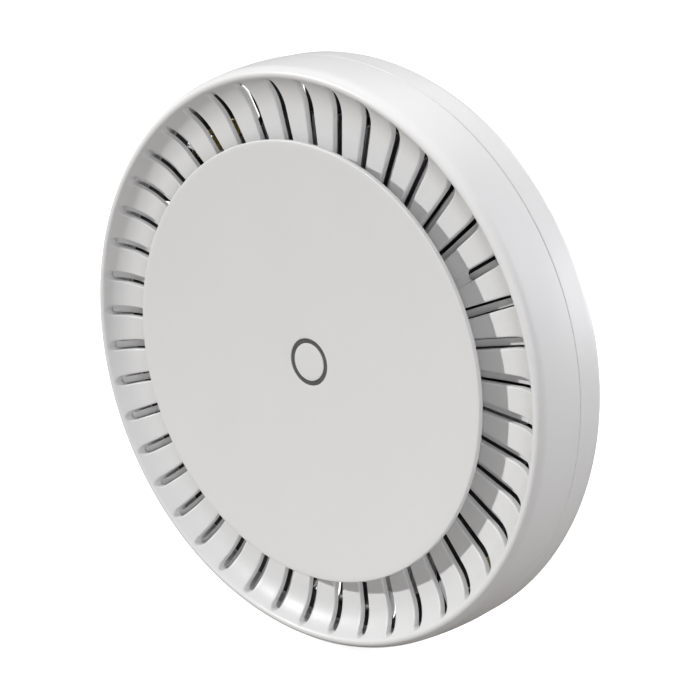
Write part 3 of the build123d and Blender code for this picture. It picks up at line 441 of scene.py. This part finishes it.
# ---- Materials ----
class Finish:
    """A procedural material: a Principled surface with small node chains on its inputs."""

    def __init__(self, name):
        self.material = bpy.data.materials.new(name + "_finish")
        self.material.use_nodes = True
        self.tree = self.material.node_tree
        self.surface = self.tree.nodes["Principled BSDF"]
        self.place = self.node("TexCoord").outputs["Object"]

    def put(self, socket, value):
        if isinstance(value, bpy.types.NodeSocket):
            self.tree.links.new(value, socket)
        elif hasattr(value, "__len__") and len(value) == 3 and len(socket.default_value) == 4:
            socket.default_value = (*value, 1.0)
        else:
            socket.default_value = value

    def node(self, kind, inputs=None, **settings):
        made = self.tree.nodes.new("ShaderNode" + kind)
        for name, value in settings.items():
            setattr(made, name, value)
        for name, value in (inputs or {}).items():
            self.put(made.inputs[name], value)
        return made

    def set(self, **inputs):
        """Sets the surface's inputs; an underscore stands for a space."""
        for name, value in inputs.items():
            self.put(self.surface.inputs[name.replace("_", " ")], value)
        return self

    def stretched(self, stretch):
        return self.node("Mapping", {"Vector": self.place, "Scale": stretch}).outputs[0]

    def noise(self, size, detail=2.0, stretch=(1, 1, 1), roughness=0.5):
        """Noise whose features are about size millimetres."""
        place = self.stretched(stretch)
        inputs = {"Vector": place, "Scale": 1 / (size * MM), "Detail": detail, "Roughness": roughness}
        return self.node("TexNoise", inputs).outputs[0]

    def cells(self, size, feature="F1", distance="EUCLIDEAN", stretch=(1, 1, 1)):
        inputs = {"Vector": self.stretched(stretch), "Scale": 1 / (size * MM)}
        made = self.node("TexVoronoi", inputs, feature=feature)
        if feature == "F1":
            made.distance = distance
        return made.outputs["Distance"]

    def stripes(self, size):
        """Straight bands across X, about size millimetres apart."""
        return self.node("TexWave", {"Vector": self.place, "Scale": 0.314 / (size * MM)}).outputs["Fac"]

    def span(self, value, low, high, from_low=0.0, from_high=1.0, smooth=False):
        kind = "SMOOTHSTEP" if smooth else "LINEAR"
        inputs = {0: value, 1: from_low, 2: from_high, 3: low, 4: high}
        return self.node("MapRange", inputs, interpolation_type=kind).outputs[0]

    def mix(self, share, low, high):
        return self.node("Mix", {0: share, 6: low, 7: high}, data_type="RGBA").outputs[2]

    def maths(self, operation, first, second=0.0):
        return self.node("Math", {0: first, 1: second}, operation=operation).outputs[0]

    def length(self, vector):
        return self.node("VectorMath", {0: vector}, operation="LENGTH").outputs["Value"]

    def from_point(self, point):
        """Vector to the shaded place from a point in metres."""
        return self.node("VectorMath", {0: self.place, 1: point}, operation="SUBTRACT").outputs[0]

    def inside_box(self, low, high):
        """1 where the place lies in a box whose corners are in metres."""
        from_middle = self.from_point((low + high) / 2)
        away = self.node("VectorMath", {0: from_middle}, operation="ABSOLUTE").outputs[0]
        parts = self.node("SeparateXYZ", {0: away}).outputs
        inside = 1.0
        for axis in range(3):
            within = self.maths("LESS_THAN", parts[axis], (high[axis] - low[axis]) / 2)
            inside = self.maths("MULTIPLY", within, inside)
        return inside

    def base(self):
        """What feeds the surface's colour so far."""
        return self.surface.inputs["Base Color"].links[0].from_socket

    def rounded(self, radius):
        """Normal that looks as if sharp edges had a radius in millimetres."""
        return self.node("Bevel", {"Radius": radius * MM}, samples=4).outputs[0]

    def bump(self, height, depth, normal=None):
        """Relief whose height runs over depth millimetres."""
        inputs = {"Height": height, "Strength": 1.0, "Distance": depth * MM}
        if normal is not None:
            inputs["Normal"] = normal
        return self.node("Bump", inputs).outputs[0]


def shaded(colour, share):
    return tuple(channel * share for channel in colour)


def moulded_plastic(name, colour, roughness, grain=0.45, depth=0.0012, edge=None):
    """Spark-eroded mould grain, faint flow marks, and a gloss that varies a little."""
    finish = Finish(name)
    flow = finish.noise(26, detail=3, stretch=(1, 1, 0.6))
    speck = finish.noise(1.1, detail=2)
    share = finish.maths("ADD", finish.maths("MULTIPLY", flow, 0.6), finish.maths("MULTIPLY", speck, 0.4))
    base = finish.mix(finish.span(share, 0.0, 1.0, 0.35, 0.65), shaded(colour, 0.985), colour)
    gloss = finish.span(finish.noise(3.0, detail=3), roughness - 0.02, roughness + 0.02, 0.3, 0.7)
    normal = finish.rounded(edge) if edge else None
    grained = finish.bump(finish.noise(grain, detail=3, roughness=0.6), depth, normal)
    return finish.set(Base_Color=base, Roughness=gloss, Normal=grained, IOR=1.5)


def metal(name, colour, roughness, scratch=(1, 1, 14), edge=0.15, tarnish=0.85):
    """Worked metal with fine scratches along one direction and a little tarnish."""
    finish = Finish(name)
    lines = finish.noise(0.5, detail=3, stretch=scratch)
    stain = finish.noise(7, detail=4)
    base = finish.mix(finish.span(stain, 0, 1, 0.35, 0.7), shaded(colour, tarnish), colour)
    gloss = finish.span(lines, roughness - 0.08, roughness + 0.1, 0.3, 0.7)
    normal = finish.bump(lines, 0.004, finish.rounded(edge))
    return finish.set(Base_Color=base, Metallic=1.0, Roughness=gloss, Normal=normal)


def with_seam_shade(finish):
    """Paints shade into the bottom of the parting line's groove, where the front and rear shells meet: a dark
    colour stands in for the shadow in the gap.
    """
    middle = Vector((0.0, RIM_Y + PARTING_DEPTH, 0.0))
    past_side = BODY_RADIUS + 1.0
    reach = Vector((past_side, SEAM_SHADE_REACH, past_side))
    seam_shade = finish.inside_box((middle - reach) * MM, (middle + reach) * MM)
    # painted shade: a dark band at the parting plane stands in for the shadow in the gap between the shells
    return finish.set(Base_Color=finish.mix(seam_shade, finish.base(), (0.16, 0.16, 0.16)))


def shell_white():
    return with_seam_shade(moulded_plastic("shell_white", SHELL_COLOUR, 0.38))


def rear_white_inner_shade():
    """The same white outside, and painted shade on the inner faces that show through the slots: a dark colour
    stands in for the shade inside the housing.
    """
    finish = with_seam_shade(moulded_plastic("rear_white_inner_shade", SHELL_COLOUR, 0.38))
    outwards = finish.from_point(Vector((0.0, RIM_Y + PARTING_DEPTH, 0.0)) * MM)
    normal = finish.node("TexCoord").outputs["Normal"]
    facing = finish.node("VectorMath", {0: normal, 1: outwards}, operation="DOT_PRODUCT").outputs["Value"]
    inner = finish.maths("LESS_THAN", facing, -INNER_FACE_REACH * MM)
    # painted shade: inner faces are coloured dark in place of the shade inside the housing
    return finish.set(Base_Color=finish.mix(inner, finish.base(), (0.07, 0.07, 0.072)))


def disc_white():
    return moulded_plastic("disc_white", (0.80, 0.80, 0.795), 0.42, grain=0.3, depth=0.0008)


def bracket_white():
    return moulded_plastic("bracket_white", (0.78, 0.78, 0.76), 0.5, grain=0.7, depth=0.006, edge=0.35)


def button_grey():
    return moulded_plastic("button_grey", (0.36, 0.37, 0.38), 0.42, edge=0.2)


def jack_black():
    return moulded_plastic("jack_black", BLACK_MOULDING, 0.38, edge=0.25)


def cable_black():
    return moulded_plastic("cable_black", (0.03, 0.03, 0.032), 0.45)


def can_dark():
    """Sleeved capacitor cans: glossy sleeve on the side, bare metal on top."""
    finish = Finish("can_dark")
    facing = finish.node("SeparateXYZ", {0: finish.node("NewGeometry").outputs["Normal"]}).outputs[1]
    top = finish.span(facing, 0, 1, 0.85, 0.95)
    sleeve = finish.mix(finish.noise(2), (0.02, 0.022, 0.028), (0.035, 0.038, 0.045))
    base = finish.mix(top, sleeve, (0.72, 0.72, 0.73))
    gloss = finish.span(finish.noise(0.8), 0.22, 0.36)
    normal = finish.bump(finish.noise(0.4), 0.004)
    return finish.set(Base_Color=base, Metallic=top, Roughness=gloss, Normal=normal)


def led_smoke():
    """Smoked clear ring: dark and glossy, with a faint cloudiness."""
    finish = Finish("led_smoke")
    cloud = finish.noise(1.6, detail=3)
    base = finish.mix(cloud, (0.075, 0.076, 0.078), (0.125, 0.126, 0.128))
    gloss = finish.span(finish.noise(0.6), 0.28, 0.42)
    normal = finish.bump(finish.noise(0.25, detail=3), 0.001)
    return finish.set(Base_Color=base, Roughness=gloss, Normal=normal)


def clear_guide():
    finish = Finish("clear_guide")
    base = finish.mix(finish.noise(3), (0.9, 0.93, 0.94), (1.0, 1.0, 1.0))
    gloss = finish.span(finish.noise(1.2), 0.06, 0.2)
    return finish.set(Base_Color=base, Roughness=gloss, Transmission_Weight=0.85, IOR=1.49,
                      Normal=finish.bump(finish.noise(0.8), 0.003))


def steel():
    return metal("steel", (0.62, 0.62, 0.63), 0.3, scratch=(6, 1, 6), edge=0.1)


def aluminium():
    """Die-cast plate and fins, slightly rough all over."""
    finish = Finish("aluminium")
    cast = finish.noise(0.6, detail=4, roughness=0.7)
    base = finish.mix(finish.noise(9, detail=3), (0.55, 0.56, 0.57), (0.68, 0.69, 0.70))
    gloss = finish.span(cast, 0.38, 0.58, 0.3, 0.7)
    return finish.set(Base_Color=base, Metallic=0.95, Roughness=gloss,
                      Normal=finish.bump(cast, 0.02, finish.rounded(0.2)))


def shield_tin():
    """Tin-plated sheet with a pattern of punched vents, painted as dark spots of shade where the holes would
    be.
    """
    finish = metal("shield_tin", (0.72, 0.72, 0.70), 0.3, scratch=(1, 1, 8), edge=0.2, tarnish=0.9)
    dots = finish.cells(2.2, distance="CHEBYCHEV")
    # painted shade: dark spots where the punched vents would be
    hole_shade = finish.span(dots, 1, 0, 0.18, 0.24)
    return finish.set(Base_Color=finish.mix(hole_shade, finish.base(), HOLE_SHADE_COLOUR))


def board_green():
    """Solder mask over copper traces, ringed vias whose holes are painted dark as shade, and pale component
    pads.
    """
    finish = Finish("board_green")
    traces = finish.cells(5.0, feature="DISTANCE_TO_EDGE", stretch=(1, 1, 0.7))
    trace = finish.span(traces, 1, 0, 0.03, 0.05)
    lanes = finish.span(finish.stripes(0.9), 0, 1, 0.55, 0.65)
    patch = finish.span(finish.noise(13, detail=1), 0, 1, 0.52, 0.54)
    copper = finish.maths("MAXIMUM", trace, finish.maths("MULTIPLY", lanes, patch))
    mask = finish.mix(finish.noise(18), (0.012, 0.10, 0.045), (0.018, 0.14, 0.06))
    base = finish.mix(copper, mask, (0.05, 0.25, 0.10))
    dots = finish.cells(3.4)
    via = finish.span(dots, 1, 0, 0.10, 0.13)
    # painted shade: dark spots in the middle of the vias, where holes would be
    hole_shade = finish.span(dots, 1, 0, 0.05, 0.06)
    base = finish.mix(via, base, (0.70, 0.52, 0.22))
    base = finish.mix(hole_shade, base, HOLE_SHADE_COLOUR)
    height = finish.maths("ADD", copper, via)
    return finish.set(Base_Color=base, Metallic=finish.maths("MULTIPLY", via, 0.9), Roughness=0.34,
                      Normal=finish.bump(height, 0.03))


def chip_black():
    """Moulded epoxy with a matt grain."""
    finish = Finish("chip_black")
    grain = finish.noise(0.2, detail=3, roughness=0.7)
    base = finish.mix(grain, (0.018, 0.018, 0.02), (0.04, 0.04, 0.043))
    gloss = finish.span(finish.noise(2.5), 0.5, 0.68)
    return finish.set(Base_Color=base, Roughness=gloss, Normal=finish.bump(grain, 0.01, finish.rounded(0.2)))


def thermal_grey():
    finish = Finish("thermal_grey")
    weave = finish.noise(0.7, detail=4)
    base = finish.mix(weave, (0.27, 0.30, 0.33), (0.36, 0.39, 0.42))
    return finish.set(Base_Color=base, Roughness=0.85, Normal=finish.bump(weave, 0.05, finish.rounded(0.3)))


def led_yellow():
    finish = Finish("led_yellow")
    facing = finish.node("LayerWeight", {"Blend": 0.35}).outputs["Facing"]
    # painted sheen: the yellow turns pale towards grazing view angles
    base = finish.mix(facing, (0.92, 0.80, 0.35), (0.85, 0.85, 0.82))
    return finish.set(Base_Color=base, Roughness=finish.span(finish.noise(0.4), 0.2, 0.35),
                      Normal=finish.bump(finish.noise(0.3), 0.004, finish.rounded(0.1)))


def ferrite():
    finish = Finish("ferrite")
    sinter = finish.noise(0.35, detail=5, roughness=0.75)
    base = finish.mix(sinter, (0.055, 0.055, 0.06), (0.11, 0.11, 0.115))
    return finish.set(Base_Color=base, Roughness=finish.span(sinter, 0.5, 0.7),
                      Normal=finish.bump(sinter, 0.02, finish.rounded(0.3)))


def jack_metal(name="jack_metal"):
    return metal(name, (0.66, 0.66, 0.65), 0.28, scratch=(1, 10, 1), edge=0.25, tarnish=0.9)


def network_jack(node):
    """Nickel-plated sheet outside, black plastic where the plug goes in, and gilded contacts."""
    finish = jack_metal(node)
    low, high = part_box(node)
    inside = finish.inside_box(low + JACK_SKIN * MM, high - JACK_SKIN * MM)
    contacts_low = Vector((low.x + CONTACT_MARGIN * MM, high.y - CONTACT_DEPTH * MM, low.z))
    contacts_high = Vector((high.x - CONTACT_MARGIN * MM, high.y - CONTACT_END * MM, high.z))
    contact = finish.inside_box(contacts_low, contacts_high)
    lining = finish.mix(contact, (0.02, 0.02, 0.022), (0.85, 0.62, 0.25))
    metallic = finish.maths("MAXIMUM", finish.maths("SUBTRACT", 1.0, inside), contact)
    return finish.set(Base_Color=finish.mix(inside, finish.base(), lining), Metallic=metallic)


def barrel_jack(node):
    """Black moulding round a plated centre pin."""
    finish = moulded_plastic(node, BLACK_MOULDING, 0.38, edge=0.25)
    low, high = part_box(node)
    pin_y = high.y - (high.x - low.x) / 2 - BARREL_SKIN * MM
    sideways = finish.from_point(Vector(((low.x + high.x) / 2, pin_y, 0.0)))
    flat = finish.node("VectorMath", {0: sideways, 1: (1, 1, 0)}, operation="MULTIPLY").outputs[0]
    pin = finish.maths("LESS_THAN", finish.length(flat), BARREL_PIN * MM)
    return finish.set(Base_Color=finish.mix(pin, finish.base(), (0.75, 0.74, 0.70)), Metallic=pin)


def brass():
    return metal("brass", (0.80, 0.66, 0.36), 0.3, scratch=(1, 8, 1), edge=0.1)


def label_silver():
    """Blank polyester label with a fine brushed sheen."""
    finish = Finish("label_silver")
    brushed = finish.noise(0.25, detail=2, stretch=(0.05, 1, 1))
    base = finish.mix(brushed, (0.62, 0.63, 0.64), (0.74, 0.75, 0.76))
    return finish.set(Base_Color=base, Metallic=0.6, Roughness=finish.span(brushed, 0.3, 0.45),
                      Normal=finish.bump(brushed, 0.002))


FINISHES = (shell_white, disc_white, bracket_white, button_grey, jack_black, cable_black, can_dark, led_smoke,
            clear_guide, steel, aluminium, shield_tin, board_green, chip_black, thermal_grey, led_yellow,
            ferrite, jack_metal, brass, label_silver)


def dress(obj, material):
    obj.data.materials.clear()
    obj.data.materials.append(material)


# ---- Stage, light and camera ----
CENTRE = Vector((0.0, RIM_Y * MM, 0.0))
CAMERA_AZIMUTH = 41.05
CAMERA_ELEVATION = 18.27
CAMERA_DISTANCE = 5.936                   # in body radii, from the middle of the disc's rim
CAMERA_RIGHT = 0.172
CAMERA_UP = 0.053
CAMERA_LENS = 92.72
FLOOR_REACH = 6.0                         # metres, like the other sizes of the stage
GLOW_START = 0.2                          # from here outwards the floor fades into the white backdrop
GLOW_END = 0.8
WORLD_STRENGTH = 0.03
WHITE = (1, 1, 1)
COOL = (0.962, 0.96, 1.0)
LIGHTS = (
    # name, azimuth, elevation, distance, size, power, colour
    ("key", -40.1, 26.8, 2.5, 0.12, 41.4, WHITE),
    ("overhead", 0.0, 88.0, 1.2, 1.2, 7.9, WHITE),
    ("front_right", 50.0, 8.0, 1.6, 0.9, 10.4, COOL),
    ("side_right", 110.0, 32.0, 1.6, 1.0, 5.5, COOL),
    ("back_right", 152.0, 8.0, 1.6, 0.6, 8.0, COOL),
    ("high_back", 185.0, 48.0, 1.6, 0.9, 4.2, WHITE),
    ("rear", 185.0, 4.0, 1.8, 0.6, 14.0, WHITE),
    ("left", -95.0, 5.0, 1.6, 0.8, 3.6, WHITE),
)


def direction(azimuth, elevation):
    """Unit vector from the object; azimuth 0 is the front, and it grows towards +X."""
    turn = math.radians(azimuth)
    lift = math.radians(elevation)
    return Vector((math.sin(turn) * math.cos(lift), -math.cos(turn) * math.cos(lift), math.sin(lift)))


def make_camera():
    turn = math.radians(CAMERA_AZIMUTH)
    back = direction(CAMERA_AZIMUTH, CAMERA_ELEVATION)
    right = Vector((math.cos(turn), math.sin(turn), 0))
    up = back.cross(right)
    data = bpy.data.cameras.new("camera")
    data.lens = CAMERA_LENS
    camera = bpy.data.objects.new("camera", data)
    shift = CAMERA_DISTANCE * back + CAMERA_RIGHT * right + CAMERA_UP * up
    place = CENTRE + BODY_RADIUS * MM * shift
    camera.matrix_world = Matrix.Translation(place) @ Matrix((right, up, back)).transposed().to_4x4()
    bpy.context.scene.collection.objects.link(camera)
    bpy.context.scene.camera = camera


def soft_box(name, azimuth, elevation, distance, size, power, colour):
    """Square area light that looks at the object from an azimuth and elevation."""
    towards = direction(azimuth, elevation)
    data = bpy.data.lights.new(name, "AREA")
    data.size = size
    data.energy = power
    data.color = colour
    light = bpy.data.objects.new(name, data)
    light.location = CENTRE + towards * distance
    light.rotation_mode = "QUATERNION"
    light.rotation_quaternion = towards.to_track_quat("Z", "Y")
    light.visible_camera = False
    bpy.context.scene.collection.objects.link(light)


def floor_finish():
    """Pale to the camera and glowing far out, so that it fades away; darker to the light it bounces back."""
    finish = Finish("floor")
    seen = finish.node("LightPath").outputs["Is Camera Ray"]
    pale = finish.mix(finish.noise(300, detail=2), (0.86, 0.86, 0.86), (0.9, 0.9, 0.9))
    glow = finish.span(finish.length(finish.place), 0.8, 1.0, GLOW_START, GLOW_END, smooth=True)
    return finish.set(Base_Color=finish.mix(seen, (0.22, 0.205, 0.18), pale), Roughness=0.9,
                      Emission_Color=WHITE, Emission_Strength=finish.maths("MULTIPLY", seen, glow))


def make_floor():
    reach = FLOOR_REACH
    corners = ((-reach, -reach), (reach, -reach), (reach, reach), (-reach, reach))
    mesh = bpy.data.meshes.new("floor")
    mesh.from_pydata([(x, y, cad_low.z) for x, y in corners], [], [(0, 1, 2, 3)])
    floor = bpy.data.objects.new("floor", mesh)
    bpy.context.scene.collection.objects.link(floor)
    dress(floor, floor_finish().material)


def make_world():
    """White backdrop to the camera, and faint even light to everything else."""
    world = bpy.data.worlds.new("studio")
    world.use_nodes = True
    tree = world.node_tree
    background = tree.nodes["Background"]
    background.inputs["Color"].default_value = (*WHITE, 1)
    seen = tree.nodes.new("ShaderNodeLightPath").outputs["Is Camera Ray"]
    span = tree.nodes.new("ShaderNodeMapRange")
    span.inputs[3].default_value = WORLD_STRENGTH
    span.inputs[4].default_value = 1.0
    tree.links.new(seen, span.inputs[0])
    tree.links.new(span.outputs[0], background.inputs["Strength"])
    bpy.context.scene.world = world


# ---- Everything together ----
materials = {make.__name__: make().material for make in FINISHES}
for name, cad_object in frame["nodes"].items():
    dress(cad_object, materials[SLOTS[name]])
dress(frame["nodes"]["rear_shell"], rear_white_inner_shade().material)
for name in ("ethernet_jack_in", "ethernet_jack_out"):
    dress(frame["nodes"][name], network_jack(name).material)
dress(frame["nodes"]["power_jack"], barrel_jack("power_jack").material)
for made in (front_shell(), front_disc()):
    dress(made, materials[made["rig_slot"]])

make_floor()
make_world()
for settings in LIGHTS:
    soft_box(*settings)
make_camera()
bpy.context.scene.view_settings.view_transform = "Standard"
